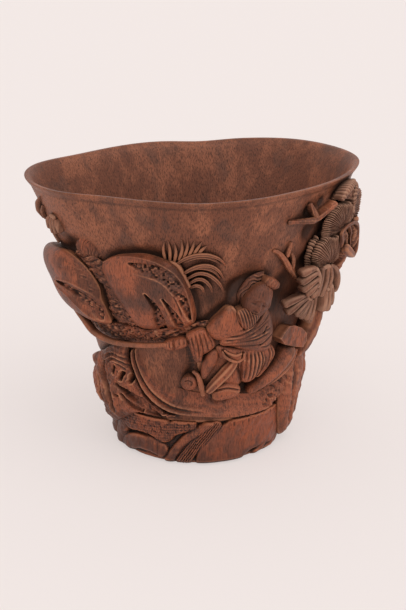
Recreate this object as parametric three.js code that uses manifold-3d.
// A carved libation cup of dark fragrant wood, built up from joined pieces as such cups are.
// The flared vessel stands on a root-and-rock foot, and the landscape in high relief is carved in
// separate pieces that are glued to its wall: boulders, a terrace, a scholar with his pole, rocks
// with holes, and a pine whose trunk, boughs and needle fans cover the right and the back.
// Units are millimetres. The origin is the centre of the flat foot, +Z is up, +X is to the right
// of the side that carries the scholar, and -Y faces the viewer of that side.
// A place on the wall is a bearing in degrees, from the front to the right, and a height.
import * as THREE from 'three';
import Module from 'manifold-3d';

const wasm = await Module();
wasm.setup();

// Driving sizes of the vessel
const cupHeight = 101.6;
const rimTilt = 1.5;
const rimWave = 0.5;
const rimShift = 0.9;
const footRadius = 30;
const flarePower = 1.5;
const lipFlare = 0.6;
const lipShare = 0.04;
const wallAtRim = 2.4;
const wallAtFloor = 6;
const wellFloor = 30;
const jointHeight = 17;
const tenonRadius = 13;
const tenonLength = 5;
const jointGap = 0.3;

// The uneven mouth follows the log that the cup is cut from: its radius at each 20 degrees
const mouthRadii = [
  51.5, 51.5, 51, 52.5, 55, 58, 58, 56.5, 50.5, 45.5, 46.5, 48.5, 52.5, 60.5, 61, 57, 49.5, 49,
];

// How far the carved pieces are sunk for their clean cut against the wall
const reliefSink = 3;

// How finely the vessel is faceted
const wallSides = 72;
const wallRings = 12;

const radians = (degrees) => (degrees * Math.PI) / 180;
const degrees = (angle) => (angle * 180) / Math.PI;

// Outer radius of the rim at a bearing: a smooth closed cubic through the mouth's radii
function rimRadius(bearing) {
  const count = mouthRadii.length;
  const place = (((bearing % 360) + 360) % 360) * (count / 360);
  const step = Math.floor(place);
  const share = place - step;
  const [before, here, after, beyond] = [-1, 0, 1, 2].map((k) => mouthRadii[(step + k + count) % count]);
  const bend = 2 * before - 5 * here + 4 * after - beyond + share * (3 * (here - after) + beyond - before);
  return here + (share / 2) * (after - before + share * bend);
}

// The rim is higher at the right, and has a slight dip and a slight swell at the back left
function rimHeight(bearing) {
  const back = ((bearing % 360) + 360) % 360;
  const wave = Math.exp(-(((back - 210) / 20) ** 2)) - Math.exp(-(((back - 178) / 14) ** 2));
  return cupHeight + rimTilt * Math.sin(radians(bearing)) + rimWave * wave;
}

// Outer radius of the wall: it widens from the round foot to the rim, faster towards the lip
function wallRadius(bearing, height) {
  const share = THREE.MathUtils.clamp(height / rimHeight(bearing), 0, 1);
  const lip = THREE.MathUtils.clamp((share - (1 - lipShare)) / lipShare, 0, 1);
  const spread = rimRadius(bearing) - footRadius - lipFlare;
  return footRadius + spread * share ** flarePower + lipFlare * lip ** 2;
}

// A point at a bearing and height, standing off the wall by a depth
function wallPoint(bearing, height, off) {
  const radius = wallRadius(bearing, height) + off;
  const a = radians(bearing);
  const shift = rimShift * THREE.MathUtils.clamp(height / cupHeight, 0, 1);
  return new THREE.Vector3(shift + radius * Math.sin(a), -radius * Math.cos(a), height);
}

// The relief is laid out on a cup 101.6 mm high, and follows the height that the cup has
const reliefPoint = (bearing, drawn, off) => wallPoint(bearing, (drawn * cupHeight) / 101.6, off);

// Solids
function solidFromPoints(points, triangles) {
  const flat = new Float32Array(points.flatMap((p) => [p.x, p.y, p.z]));
  const solid = new wasm.Manifold(
    new wasm.Mesh({ numProp: 3, vertProperties: flat, triVerts: new Uint32Array(triangles) }),
  );
  if (solid.volume() > 0) return solid;
  const turned = new Uint32Array(triangles).map((_, i) => triangles[i - (i % 3) + ((3 - (i % 3)) % 3)]);
  return new wasm.Manifold(new wasm.Mesh({ numProp: 3, vertProperties: flat, triVerts: turned }));
}

const average = (points) =>
  points.reduce((sum, p) => sum.addScaledVector(p, 1 / points.length), new THREE.Vector3());

// A solid from closed rings of points, each ring as long as the last, with a point at each end
function solidFromRings(rings, start = average(rings[0]), end = average(rings.at(-1))) {
  const sides = rings[0].length;
  const points = [start, ...rings.flat(), end];
  const last = points.length - 1;
  const top = 1 + (rings.length - 1) * sides;
  const triangles = [];
  for (let k = 0; k < sides; k++) {
    const next = (k + 1) % sides;
    triangles.push(0, 1 + next, 1 + k);
    triangles.push(last, top + k, top + next);
    for (let r = 0; r + 1 < rings.length; r++) {
      const a = 1 + r * sides;
      const b = a + sides;
      triangles.push(a + k, a + next, b + next, a + k, b + next, b + k);
    }
  }
  return solidFromPoints(points, triangles);
}

function wallRing(off, heightAt) {
  return Array.from({ length: wallSides }, (_, k) => {
    const bearing = (360 * k) / wallSides;
    return wallPoint(bearing, heightAt(bearing), off);
  });
}

// The body inside the wall's face, grown by a clearance, from a height up to the rim or to another
function core(grow, low, high = Infinity) {
  const rings = [];
  for (let r = 0; r <= wallRings; r++) {
    const share = r / wallRings;
    rings.push(wallRing(grow, (b) => low + (Math.min(high, rimHeight(b)) - low) * share));
  }
  if (Number.isFinite(high) && high > cupHeight + rimTilt) rings.push(wallRing(grow, () => high));
  return solidFromRings(rings);
}

function round(radius, low, high) {
  const sides = 36;
  const rings = [low, high].map((z) =>
    Array.from({ length: sides }, (_, k) => {
      const a = (2 * Math.PI * k) / sides;
      return new THREE.Vector3(radius * Math.cos(a), radius * Math.sin(a), z);
    }),
  );
  return solidFromRings(rings);
}

// The well: the hollow inside the vessel, from its rounded floor out through the mouth
function wellSolid() {
  const floorRise = 5;
  const aboveRim = 10;
  const rings = [];
  for (const share of [0.35, 0.7, 0.9, 1]) {
    const rise = floorRise * (1 - Math.sqrt(1 - share ** 2 * 0.999));
    const level = wallRing(-wallAtFloor, () => wellFloor + rise);
    rings.push(level.map((p) => new THREE.Vector3(p.x * share, p.y * share, p.z)));
  }
  const steps = 8;
  for (let r = 1; r <= steps; r++) {
    const share = r / steps;
    const wall = wallAtFloor + (wallAtRim - wallAtFloor) * share;
    const start = wellFloor + floorRise;
    rings.push(wallRing(-wall, (b) => start + (rimHeight(b) - start) * share));
  }
  rings.push(wallRing(-wallAtRim, () => cupHeight + aboveRim));
  return solidFromRings(rings);
}

const vessel = core(0, jointHeight)
  .subtract(wellSolid())
  .subtract(round(tenonRadius + jointGap, jointHeight - 1, jointHeight + tenonLength + jointGap));

const wallCutter = core(jointGap, -1, cupHeight + 20);

// Relief forms. Each is a function of how much the form is grown, so that a later piece can be cut
// clear of it. A boss is a rounded mass over an outline on the wall. Its edge stands off the wall
// by a height, and one that is undercut has a foot narrower than its outline.
function boss({ outline, height, fullness = 0.45, rings: count = 3, spokes = 24, edge = 0.8, foot = 1 }) {
  const around = new THREE.CatmullRomCurve3(
    outline.map(([b, z]) => new THREE.Vector3(b, z, 0)),
    true,
  );
  const middle = average(around.getSpacedPoints(60).slice(1));
  const edgeHeight = Math.min(edge, height / 2);
  return (grow) => {
    const growth = degrees(grow / footRadius);
    const ringAt = (share, off) =>
      Array.from({ length: spokes }, (_, k) => {
        const p = around.getPointAt(k / spokes);
        const out = p.clone().sub(middle);
        const bigger = 1 + growth / Math.max(out.length(), 1);
        p.copy(middle).addScaledVector(out, share * bigger);
        return reliefPoint(p.x, p.y, off);
      });
    const rings = [ringAt(foot / 2, -reliefSink), ringAt(foot, -reliefSink)];
    for (let r = count; r > 0; r--) {
      const share = r / count;
      const off = edgeHeight + (height - edgeHeight) * (1 - share ** 2.4) ** fullness;
      rings.push(ringAt(share, off + grow));
    }
    return solidFromRings(
      rings,
      reliefPoint(middle.x, middle.y, -reliefSink),
      reliefPoint(middle.x, middle.y, height + grow),
    );
  };
}

// How far a point stands off the wall
function standOff(p) {
  const x = p.x - rimShift * THREE.MathUtils.clamp(p.z / cupHeight, 0, 1);
  return Math.hypot(x, p.y) - wallRadius(degrees(Math.atan2(x, -p.y)), p.z);
}

// A rib is a bar through places given as bearing, height and stand-off, its radius changing along
// it. A rooted one has a web down to the wall, as relief that is cut from the thickness has.
function rib({ path, radius, steps = 14, sides = 8, rooted = false }) {
  const line = new THREE.CatmullRomCurve3(path.map(([b, z, off]) => reliefPoint(b, z, off)));
  const radii = [radius, radius].flat();
  const radiusAt = (share) => {
    const place = share * (radii.length - 1);
    const low = Math.min(Math.floor(place), radii.length - 2);
    return THREE.MathUtils.lerp(radii[low], radii[low + 1], place - low);
  };
  return (grow) => {
    const rings = [];
    for (let i = 0; i <= steps; i++) {
      const share = i / steps;
      const p = line.getPointAt(share);
      const along = line.getTangentAt(share);
      const outward = new THREE.Vector3(p.x, p.y, 0).normalize();
      const side = new THREE.Vector3().crossVectors(along, outward).normalize();
      const up = new THREE.Vector3().crossVectors(side, along).normalize();
      const r = radiusAt(share) + grow;
      if (i === 0) p.addScaledVector(along, -grow);
      if (i === steps) p.addScaledVector(along, grow);
      const webDepth = standOff(p) + reliefSink;
      const ring = Array.from({ length: sides }, (_, k) => {
        const a = (2 * Math.PI * (k + 0.5)) / sides;
        const rise = rooted && Math.sin(a) < 0 ? -webDepth : r * Math.sin(a);
        return p.clone().addScaledVector(side, r * Math.cos(a)).addScaledVector(up, rise);
      });
      rings.push(ring);
    }
    return solidFromRings(rings);
  };
}

// A round fan of needles, as a low disc that stands off the wall
function fan(bearing, height, radius, off) {
  const outline = Array.from({ length: 8 }, (_, k) => {
    const a = (2 * Math.PI * k) / 8;
    const turn = degrees((radius * Math.cos(a)) / (wallRadius(bearing, height) + off));
    return [bearing + turn, height + radius * Math.sin(a)];
  });
  return boss({ outline, height: off, fullness: 0.3, rings: 2, spokes: 14 });
}

// A bank stretched between two lines of places given as bearing, height and stand-off. Its top
// bows down between them, and its outer side drops to the wall.
function bank({ inner, outer, bow = 0, steps = 24 }) {
  const smooth = (line) => new THREE.CatmullRomCurve3(line.map((place) => new THREE.Vector3(...place)));
  const [near, far] = [smooth(inner), smooth(outer)];
  const shape = [[0, 0], [0.3, 0.8], [0.6, 0.9], [0.93, 0.1]];
  return (grow) => {
    const rings = [];
    for (let i = 0; i <= steps; i++) {
      const [a, b] = [near, far].map((line) => {
        const place = line.getPoint(i / steps);
        const along = line.getTangent(i / steps);
        along.divideScalar(Math.hypot(radians(along.x) * footRadius, along.y));
        if (i === 0) place.addScaledVector(along, -grow);
        if (i === steps) place.addScaledVector(along, grow);
        return place;
      });
      const more = grow / reliefPoint(a.x, a.y, 0).distanceTo(reliefPoint(b.x, b.y, 0));
      const at = (v, off) => {
        const place = a.clone().lerp(b, v);
        return reliefPoint(place.x, place.y, off ?? place.z + grow);
      };
      const top = shape.map(([v, deep]) => {
        const off = THREE.MathUtils.lerp(a.z, b.z, v) - deep * bow + grow;
        return at(v === 0 ? -more : v, off);
      });
      rings.push([at(-more, -reliefSink), ...top, at(1 + more, b.z * 0.55 + grow), at(1 + more, -reliefSink)]);
    }
    return solidFromRings(rings);
  };
}

// A lobed leaf: blunt fingers that grow from a stem
function leaf(width, stem, ...fingers) {
  const stalk = rib({ path: stem, radius: [width * 0.7, width * 0.8], steps: 3, sides: 6 });
  const lobes = fingers.map((path) => rib({ path, radius: [width * 0.7, width, width], steps: 3, sides: 6 }));
  return together(stalk, ...lobes);
}

// Water-worn rock: a boss with ridges along its top
function ridgedRock(outline, height, ridges) {
  const worn = ridges.map((ridge) => {
    const path = ridge.map(([b, z]) => [b, z, height - 0.8]);
    return rib({ path, radius: [0.9, 1.3, 1.3, 0.9], steps: 5, sides: 6, rooted: true });
  });
  return together(boss({ outline, height, fullness: 0.35 }), ...worn);
}

// Several forms as one piece
const together =
  (...forms) =>
  (grow) =>
    wasm.Manifold.union(forms.map((form) => form(grow)));

// The foot: a block with worn facets of rock and root, and a tenon that holds it to the vessel
const facetRight = boss({
  outline: [
    [14, 4], [17, 10], [21, 15], [28, 18], [46, 17.5], [66, 16], [84, 13], [84, 8], [60, 5], [42, 3], [28, 2.5],
  ],
  height: 1.8,
});
const facetLeft = boss({
  outline: [[-50, 15], [-36, 18], [-24, 16], [-26, 8], [-40, 4], [-54, 5], [-58, 10]],
  height: 1.4,
});
const footBlock = core(0, 0, jointHeight)
  .add(together(facetRight, facetLeft)(0).intersect(core(10, 0, jointHeight)))
  .add(round(tenonRadius, jointHeight - 1, jointHeight + tenonLength));

// The scholar strides to the left: head, shoulders and robe, hanging cuff, hand, legs and shoes
const scholar = together(
  boss({
    outline: [
      [5, 56], [9, 60], [15, 63], [20, 59], [30, 56], [38, 55], [42, 48], [46, 37], [43, 31], [33, 31], [26, 36],
      [13, 43], [6, 47],
    ],
    height: 6,
  }),
  boss({
    outline: [[18, 63], [19, 69], [23, 72], [31, 72.5], [35.5, 70], [34, 65], [31, 59], [24, 57]],
    height: 8.2,
    spokes: 16,
  }),
  boss({ outline: [[-7, 53], [-1, 55.5], [6, 56], [8, 50], [3, 43], [-2, 44], [-5, 48]], height: 6, spokes: 16 }),
  boss({
    outline: [[-15, 49.5], [-12, 52.5], [-6, 53.5], [-4, 50], [-8, 47.5], [-12, 47.5]],
    height: 6.4,
    spokes: 14,
  }),
  boss({
    outline: [[1, 46], [7, 48], [13, 46], [11, 40], [6, 35], [2, 31], [-1, 34], [0, 40]],
    height: 5,
    spokes: 16,
  }),
  boss({
    outline: [[12, 43], [19, 43], [21, 40], [14, 34], [7, 29.5], [2, 30], [4, 35], [8, 39]],
    height: 4.6,
    spokes: 16,
  }),
  boss({ outline: [[-7, 32], [-5, 36], [0, 37.5], [4, 36], [4, 29], [-1, 28], [-6, 29]], height: 5.4, spokes: 14 }),
  boss({ outline: [[9, 29], [12, 33], [19, 34], [25, 31.5], [26, 28], [18, 27]], height: 5, spokes: 14 }),
);

// The grass above the boulder: stiff blades that stand up, and blades that arch over and hang
const grassTips = [
  [[-14, 79.8], [-14.5, 84], [-14, 87]],
  [[-10, 80], [-9, 83.6], [-9.6, 87]],
  [[-8, 80.6], [-6.4, 84.6], [-6.6, 88.4]],
  [[-4, 82], [-2.4, 85], [-1.2, 88.4]],
  [[0, 83.4], [1.6, 85], [3.6, 86.4]],
];
const grassArches = [
  [[-10, 78.5], [-5.5, 81.5], [-1, 83.1], [3.5, 83.3], [7.4, 82.2], [11.8, 78.6]],
  [[-8, 74.6], [-3.4, 77.6], [1, 79.3], [5, 79.2], [8.6, 77.2], [11.6, 73.6]],
  [[-5, 73.8], [-0.4, 76.2], [3.4, 76.2], [6.6, 74.6], [9.6, 72], [12, 68.6]],
  [[-4, 72], [-0.4, 74], [2.6, 73.8], [5.4, 71.4], [6.6, 68.8]],
];
const grassRoot = [[-15, 80, 0.8], [-9, 79, 0.8], [-6, 75, 0.8], [-3.6, 70.6, 0.8]];
const blade = (radius, steps) => (places) => {
  const path = places.map(([b, z], k) => [b, z, k === 0 || k === places.length - 1 ? 0.5 : 1.4]);
  return rib({ path, radius, steps, sides: 6, rooted: true });
};
const grass = together(
  rib({ path: grassRoot, radius: [0.7, 0.9, 0.7], steps: 6, sides: 6, rooted: true }),
  ...grassTips.map(blade([0.6, 0.6, 0.3], 3)),
  ...grassArches.map(blade([0.5, 0.7, 0.7, 0.4], 8)),
);

// A branch that bends round into a ring under the right end of the rim, and its stalk
const ringBranch = together(
  rib({
    path: [
      [76, 75.5, 5.6], [71, 79.5, 7], [67.5, 83.2, 7], [70, 85.3, 7.4], [75, 85.2, 8.2], [80, 82.8, 9.2],
      [83, 78, 10.4], [83.5, 73.6, 11.4], [82, 71.8, 11], [77, 74, 9.6], [74, 76.4, 8],
    ],
    radius: [1.4, 1, 0.7, 0.7, 0.8, 0.9, 1, 1.3, 1.5],
    steps: 22,
    sides: 6,
  }),
  rib({ path: [[73, 84, 3], [76, 80, 5], [79, 75.6, 6.6]], radius: [2, 2.6, 2], steps: 4, sides: 6, rooted: true }),
);

// The landscape, in the order in which a piece gives way to the ones before it
const pieces = {
  pole: rib({
    path: [
      [-94, 61, 3], [-82, 58, 4], [-72, 56, 4.6], [-64, 52.5, 5], [-57, 48, 5], [-45, 46.2, 4.6],
      [-28, 47.6, 4.6], [-12, 49.8, 4.8],
    ],
    radius: [0.7, 1, 0.9, 0.8],
    steps: 18,
    sides: 6,
  }),
  scholar,
  boulder_arch: boss({
    outline: [
      [-45, 76.5], [-37.5, 79.8], [-30.5, 81.2], [-23.5, 82], [-17.5, 81.5], [-11.5, 80], [-7.5, 77],
      [-4.5, 72], [-2, 67], [-0.5, 61], [-1.5, 57.5], [-6, 55.5], [-13, 54.5], [-21, 53.5], [-29.5, 53.5],
      [-34.5, 57], [-39, 62], [-43, 67], [-45.5, 72],
    ],
    height: 6,
    fullness: 0.4,
  }),
  boulder_left: boss({
    outline: [
      [-62.5, 78], [-69, 77.5], [-79, 76], [-90, 74], [-100, 70.5], [-105, 64], [-101, 57], [-90, 54],
      [-76, 53], [-62, 52.4], [-53, 52], [-47, 53], [-48, 57], [-49.5, 62], [-49.5, 67], [-52.5, 72], [-57, 76],
    ],
    height: 8.2,
    fullness: 0.4,
  }),
  rock_shelf: together(
    boss({
      outline: [
        [-74, 53], [-60, 53], [-46, 53], [-34, 53], [-20, 53.4], [-8, 55], [0, 57.6], [5.5, 58], [5, 55],
        [-1, 52.4], [-10, 50.4], [-22, 48.6], [-36, 47], [-48, 46.4], [-58, 46.6], [-70, 49],
      ],
      height: 2.8,
      rings: 2,
      spokes: 28,
    }),
    boss({
      outline: [
        [-60, 77.5], [-56, 78.6], [-50, 77.4], [-45, 74.5], [-42.5, 68], [-38, 62], [-33, 56], [-28, 53.4],
        [-34, 51.6], [-42, 52], [-47.5, 54], [-48.6, 61], [-48.8, 67], [-52, 71.6], [-56, 75],
      ],
      height: 2.6,
      rings: 2,
    }),
    boss({
      outline: [[-63, 77.5], [-60, 81], [-55.5, 83.4], [-51, 83], [-47.6, 80.4], [-44.5, 77.6], [-52, 75]],
      height: 1.4,
      rings: 2,
      spokes: 14,
    }),
  ),
  terrace: bank({
    inner: [
      [-31, 45.4, 0.3], [-30, 41, 0.3], [-27, 37, 0.3], [-22, 34, 0.3], [-16, 31.6, 0.3], [-9, 30, 0.3],
      [0, 29, 0.3], [10, 28.4, 0.3], [21, 27.6, 0.3], [31.5, 26.4, 0.3], [39, 25.6, 0.4], [48, 26.6, 0.6],
      [57, 28.8, 1.2], [65, 32, 1.8], [72, 36, 2.2],
    ],
    outer: [
      [-40.5, 43, 1.4], [-39.5, 38.5, 2.4], [-36.5, 33, 3], [-32, 28, 3.4], [-25, 24, 3.6], [-16.5, 21.5, 3.8],
      [-6.5, 20.6, 4], [4.5, 20, 4], [18, 19, 4], [30.5, 18.8, 4], [40.5, 19, 4], [50, 21, 4], [58, 24.5, 4],
      [66, 29, 4], [73, 34.5, 3.6],
    ],
    bow: 0.8,
    steps: 30,
  }),
  stump: together(
    rib({
      path: [
        [31, 27.6, 1.4], [38, 30.6, 2.4], [44.5, 33.4, 3.2], [50.5, 36.4, 3.8], [56, 39.6, 4.2], [59, 43, 4.2],
      ],
      radius: [1.2, 1.9, 2.5, 3, 3.5, 3.5],
      steps: 8,
      sides: 10,
      rooted: true,
    }),
    boss({
      outline: [
        [44.6, 47.6], [46.6, 49.6], [49.6, 51.4], [53.4, 51], [59, 49], [64.6, 46], [66.2, 42.6], [64, 40.6],
        [56, 42.4], [48, 44.8],
      ],
      height: 6.2,
      fullness: 0.15,
      rings: 2,
      spokes: 18,
    }),
  ),
  pine_trunk: rib({
    path: [
      [70, 35, 3.6], [72, 40, 5], [75.5, 45, 5.4], [77.5, 50, 5], [80, 58, 3.6], [81, 68, 2.6], [80, 80, 2],
      [76, 92, 1.4],
    ],
    radius: [1.6, 2.6, 3, 2.8, 2.8, 2.8, 2.6, 2],
    steps: 16,
    rooted: true,
  }),
  holed_rock: boss({
    outline: [
      [-60, 40], [-51, 43.5], [-44, 45], [-41.5, 43.6], [-41.5, 39], [-39.5, 33.5], [-35.5, 28.5], [-28.5, 24.4],
      [-20, 21.6], [-13, 19.6], [-23, 18.4], [-37, 18.6], [-52, 14], [-64, 10], [-78, 9.5], [-90, 14], [-97, 20],
      [-95, 26], [-86, 30.5], [-73, 35.5],
    ],
    height: 5,
    fullness: 0.35,
    spokes: 30,
  }),
  rock_right: boss({
    outline: [
      [66, 32], [76, 36], [90, 36], [101, 30], [106, 19], [100, 8], [88, 3], [72, 2.4], [66, 8], [62, 15],
      [60, 22], [62, 28],
    ],
    height: 7.2,
    fullness: 0.4,
  }),
  bough_upper: together(
    rib({
      path: [[38, 91, 0.5], [43, 91.3, 1.8], [47.5, 91, 2.8], [51, 90.8, 3.4], [53, 93, 4.2], [58, 96.2, 5]],
      radius: [0.5, 0.8, 1, 1, 1.1],
      steps: 10,
      sides: 6,
      rooted: true,
    }),
    rib({
      path: [[51.4, 91.4, 3], [49.5, 94, 2.4], [47.8, 97.4, 0.9]],
      radius: [0.9, 0.8, 0.5],
      steps: 5,
      sides: 6,
      rooted: true,
    }),
  ),
  bough_lower: together(
    rib({
      path: [[33, 82.4, 0.5], [36.5, 81.2, 0.8], [40.5, 78, 1.2], [44.5, 74, 1.8], [50.5, 69.5, 2.4]],
      radius: [0.6, 0.8, 0.9, 1],
      steps: 8,
      sides: 6,
      rooted: true,
    }),
    rib({
      path: [[43.6, 84.2, 0.5], [41.6, 81, 1], [43, 76.5, 1.4], [45.5, 73.5, 1.8]],
      radius: [0.4, 0.6, 0.6],
      steps: 5,
      sides: 6,
      rooted: true,
    }),
    rib({
      path: [[43.8, 84, 0.5], [45.2, 80, 1.1], [46.6, 76, 1.6], [48, 72, 2]],
      radius: [0.4, 0.6, 0.6],
      steps: 5,
      sides: 6,
      rooted: true,
    }),
  ),
  fan_rim: boss({
    outline: [
      [72, 98], [71, 94], [73, 91], [76.5, 87.5], [80, 85], [83, 84.6], [85, 88], [86, 93], [85, 97], [79, 98.5],
    ],
    height: 7.2,
    edge: 3.2,
    foot: 0.6,
    fullness: 0.3,
    rings: 2,
    spokes: 18,
  }),
  fan_upper: boss({
    outline: [[60.5, 95.5], [62.5, 98.6], [68, 100.2], [77, 100], [76, 98.6], [71, 97], [69, 94.8], [63, 94.6]],
    height: 5.2,
    edge: 3.2,
    foot: 0.6,
    fullness: 0.3,
    rings: 2,
    spokes: 16,
  }),
  fan_middle: boss({
    outline: [
      [61, 82.6], [58.6, 85.6], [58, 88.6], [59.4, 91.2], [61.8, 93.6], [65.6, 94.6], [70, 93.6], [74.4, 90.4],
      [76, 86.4], [69, 84],
    ],
    height: 6.4,
    edge: 3.2,
    foot: 0.6,
    fullness: 0.35,
    rings: 3,
    spokes: 18,
  }),
  ring_branch: ringBranch,
  fan_lower: boss({
    outline: [
      [61.6, 70.8], [58.2, 73.4], [56.4, 76.4], [56.4, 79.8], [59, 82], [63.6, 82.6], [69.6, 80.6], [74, 76.6],
      [75.6, 72.4], [69, 69.4],
    ],
    height: 6.6,
    edge: 3.2,
    foot: 0.6,
    fullness: 0.35,
    rings: 3,
    spokes: 18,
  }),
  fan_inner: boss({
    outline: [
      [66, 67.6], [61, 69], [56.6, 72.6], [54.6, 77], [55.4, 81.6], [58.6, 84], [61.6, 80], [63, 75], [68, 70],
    ],
    height: 2.8,
    fullness: 0.35,
    rings: 2,
    spokes: 16,
  }),
  bough_fork: rib({
    path: [[78, 61, 3], [80, 65, 5.4], [81.5, 68.4, 6.6], [80, 72, 7.6], [77, 74.4, 8]],
    radius: [1.4, 2.2, 2.2, 1.6],
    steps: 6,
    rooted: true,
  }),
  fan_low: leaf(
    1.5,
    [[70, 61, 7.2], [73, 61.4, 7.6], [77, 61, 7.8]],
    [[70, 61, 7.4], [70.6, 56.6, 8], [71.6, 52.6, 8.2]],
    [[73, 61, 7.6], [74.6, 56, 8.6], [76.6, 51.6, 9]],
    [[77, 61, 7.8], [79.4, 56.4, 8.8], [81.6, 52.4, 9.2]],
  ),
  leaf_high: leaf(
    1.2,
    [[55, 73, 6.2], [59.6, 68.6, 6.6], [61.6, 64, 6.2]],
    [[55, 73, 6.4], [50, 73, 6.4], [46.6, 71.8, 5.8]],
    [[57.6, 71, 6.6], [52, 70.6, 6.8], [47.4, 68.4, 6]],
    [[59.6, 68.6, 6.8], [54, 67.6, 6.8], [49.6, 65.2, 6]],
    [[61, 66, 6.6], [56.6, 64.8, 6.6], [53.4, 62.8, 6]],
    [[61.6, 64, 6.4], [60, 62.4, 6.4], [58.4, 60.8, 6]],
  ),
  leaf_middle: leaf(
    1.1,
    [[56, 62.6, 5], [58, 60.6, 5.4], [60.4, 60, 5.8]],
    [[56, 62.6, 5.2], [50, 62.6, 5.4], [45, 61.6, 4.8], [42.4, 60.4, 4.2]],
    [[57, 61.4, 5.4], [51.5, 60.4, 5.4], [47.6, 58.6, 5], [45.2, 57, 4.4]],
    [[58, 60.4, 5.6], [54.4, 58, 5.6], [51.4, 55, 5]],
    [[59, 60, 5.8], [57, 56.6, 5.8], [55.6, 53.2, 5.2]],
    [[60.4, 60, 6], [60.6, 56, 6], [61, 51.6, 5.6]],
  ),
  leaf_low: leaf(
    1.1,
    [[62, 71, 6], [65, 71.2, 6.4], [67.6, 70.6, 6.6]],
    [[62, 71.2, 6.2], [62.6, 66, 6.6], [63.6, 60, 6.2]],
    [[65, 71.2, 6.6], [67, 65.6, 7.2], [68, 59, 6.8]],
    [[67.6, 70.6, 6.8], [70.6, 66, 7.6], [72.4, 61, 7.4]],
    [[63.6, 60.4, 6], [65, 55, 6], [67, 49, 5.4]],
  ),
  leaf_side: leaf(
    0.9,
    [[68, 71, 6.6], [69, 70, 7], [70, 69.4, 7.2]],
    [[68, 71, 6.8], [72, 69, 8], [77, 65, 9], [80, 60.6, 9.6], [80, 57.8, 9.4]],
    [[68, 70.6, 6.6], [70, 66.5, 7.6], [72, 62, 8.2], [75, 58.4, 8.6]],
  ),
  sprig_left: together(
    boss({
      outline: [
        [-70, 95.6], [-74, 96], [-79, 93], [-83, 88.6], [-83, 85.2], [-79, 84.6], [-74.5, 87], [-70.5, 91.4],
      ],
      height: 3.2,
      fullness: 0.35,
      rings: 2,
      spokes: 16,
    }),
    boss({
      outline: [
        [-64.5, 90.5], [-69, 90.6], [-73.5, 88.6], [-75.4, 84.4], [-73, 81.4], [-67, 81], [-62.5, 83], [-60.4, 86],
        [-62, 89],
      ],
      height: 3.4,
      fullness: 0.35,
      rings: 2,
      spokes: 18,
    }),
    rib({
      path: [[-73, 84, 0.8], [-73, 80.6, 0.8], [-71.6, 77.8, 0.8]],
      radius: [0.7, 0.6, 0.5],
      steps: 3,
      sides: 6,
      rooted: true,
    }),
  ),
  grass,
  boulder_back: boss({
    outline: [
      [-112, 67], [-120, 74], [-134, 77], [-148, 74], [-156, 66], [-152, 57], [-138, 52.5], [-122, 53],
      [-112, 58],
    ],
    height: 7,
    fullness: 0.4,
  }),
  boulder_back_low: boss({
    outline: [
      [-158, 66], [-164, 70], [-176, 71], [-188, 67], [-193, 60], [-188, 54], [-174, 51], [-160, 53],
      [-156, 59],
    ],
    height: 5.4,
    fullness: 0.4,
  }),
  terrace_back: bank({
    inner: [
      [-96, 48.5, 0.3], [-110, 43.5, 0.3], [-126, 41, 0.3], [-144, 41.5, 0.3], [-162, 46, 0.3], [-179, 50, 0.3],
    ],
    outer: [
      [-96, 43, 2.4], [-110, 37.5, 3.6], [-126, 34.6, 4], [-144, 35, 4], [-162, 39.5, 3.6], [-181, 45.5, 2.6],
    ],
    bow: 0.4,
    steps: 20,
  }),
  rock_back: ridgedRock(
    [
      [-104, 31], [-112, 34], [-128, 32], [-146, 33], [-158, 36], [-168, 32], [-172, 22], [-160, 12],
      [-140, 6], [-120, 6], [-106, 12], [-101, 22],
    ],
    5.6,
    [
      [[-108, 13], [-116, 20], [-127, 24], [-140, 25.6]],
      [[-122, 9.6], [-133, 14.4], [-147, 17.4], [-161, 19]],
      [[-111, 28], [-124, 29.4], [-140, 30.4], [-156, 31.6]],
    ],
  ),
  rock_middle: ridgedRock(
    [
      [-174, 40], [-182, 42], [-196, 44], [-208, 40], [-214, 30], [-210, 18], [-196, 8], [-182, 8],
      [-174, 16], [-171, 28],
    ],
    5.4,
    [
      [[-180, 12], [-185, 21], [-195, 28], [-206, 33]],
      [[-191, 11], [-198, 18], [-208, 23]],
      [[-177, 27], [-184, 34], [-196, 38.6]],
    ],
  ),
  rock_far: ridgedRock(
    [[-219, 36], [-228, 42], [-240, 40], [-250, 34], [-253, 24], [-248, 13], [-234, 6], [-222, 9], [-216, 22]],
    5.6,
    [
      [[-222, 13], [-229, 20], [-239, 24], [-248, 26.6]],
      [[-222, 27], [-231, 33], [-243, 34.4]],
      [[-235, 10], [-243, 15], [-249, 19.6]],
    ],
  ),
  bough_back: rib({
    path: [[92, 62, 4], [106, 66, 4], [122, 71, 3.6], [140, 74.5, 3], [160, 76, 2.4], [184, 82, 1.8], [206, 87, 1]],
    radius: [2.4, 2.2, 1.6, 0.9],
    steps: 16,
    rooted: true,
  }),
  fan_back_high: fan(112, 84, 6, 7),
  fan_back_rim: fan(128, 90, 6, 6),
  fan_back_middle: fan(134, 79, 6, 6.4),
  fan_back_inner: fan(151, 86, 6, 5.6),
  fan_back_far: fan(172, 89, 5.6, 5),
  fan_back_low: fan(122, 60.5, 6, 6.6),
  fan_back_under: fan(144, 63, 6, 6),
  leaf_back: leaf(
    1.3,
    [[161, 74.6, 2.4], [164, 75, 2.6], [167, 74.6, 2.4]],
    [[161, 75, 2.4], [157, 70, 3.4], [154.6, 66, 3.6]],
    [[163, 75, 2.6], [161, 69, 3.8], [159.4, 63, 3.8]],
    [[165, 75, 2.6], [165.6, 68.6, 3.8], [166, 62, 3.8]],
    [[167, 75, 2.4], [170, 69, 3.4], [172.4, 64, 3.6]],
  ),
};

// Piece by piece, each is cut clear of the wall and of the pieces before it
const largest = (solid) => solid.decompose().reduce((a, b) => (a.volume() > b.volume() ? a : b));

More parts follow.
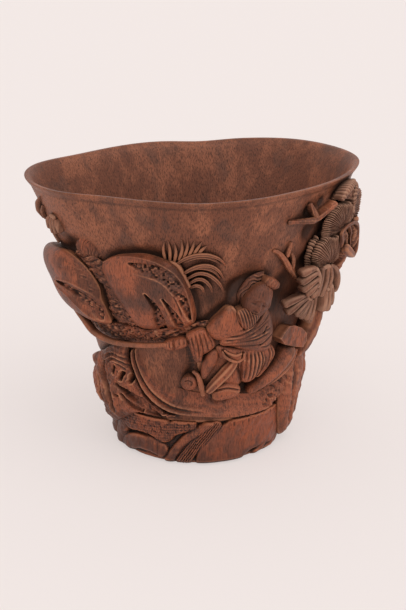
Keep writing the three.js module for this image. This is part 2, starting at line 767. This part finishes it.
const outerWall = together(facetRight, facetLeft)(jointGap).add(wallCutter);
const solids = { vessel, foot_block: footBlock };
const grown = [outerWall];
for (const [name, make] of Object.entries(pieces)) {
  const cut = grown.reduce((solid, other) => solid.subtract(other), make(0));
  solids[name] = largest(cut.intersect(core(30, 0.5, cupHeight - 0.8)));
  grown.push(make(jointGap));
}

// Colour and roughness of each kind of piece, by the first word of its name
const woods = {
  vessel: [0x7a4c36, 0.5],
  foot: [0x6a3f2e, 0.45],
  pole: [0x8a5236, 0.5],
  scholar: [0x7c4a34, 0.5],
  fan: [0x70493a, 0.75],
  leaf: [0x70493a, 0.75],
  grass: [0x784b38, 0.6],
  sprig: [0x70493a, 0.75],
};
const rockWood = [0x744836, 0.5];

const cup = new THREE.Group();
for (const [name, solid] of Object.entries(solids)) {
  const { numProp, vertProperties, triVerts } = solid.getMesh();
  const positions = new Float32Array((vertProperties.length / numProp) * 3);
  for (let i = 0; i < positions.length / 3; i++) {
    for (let k = 0; k < 3; k++) positions[3 * i + k] = vertProperties[numProp * i + k];
  }
  const geometry = new THREE.BufferGeometry();
  geometry.setAttribute('position', new THREE.BufferAttribute(positions, 3));
  geometry.setIndex(new THREE.BufferAttribute(new Uint32Array(triVerts), 1));
  geometry.computeVertexNormals();
  const [colour, roughness] = woods[name.split('_')[0]] ?? rockWood;
  const finish = new THREE.MeshStandardMaterial({ color: colour, roughness, metalness: 0 });
  const mesh = new THREE.Mesh(geometry, finish);
  mesh.name = name;
  cup.add(mesh);
}

export default cup;
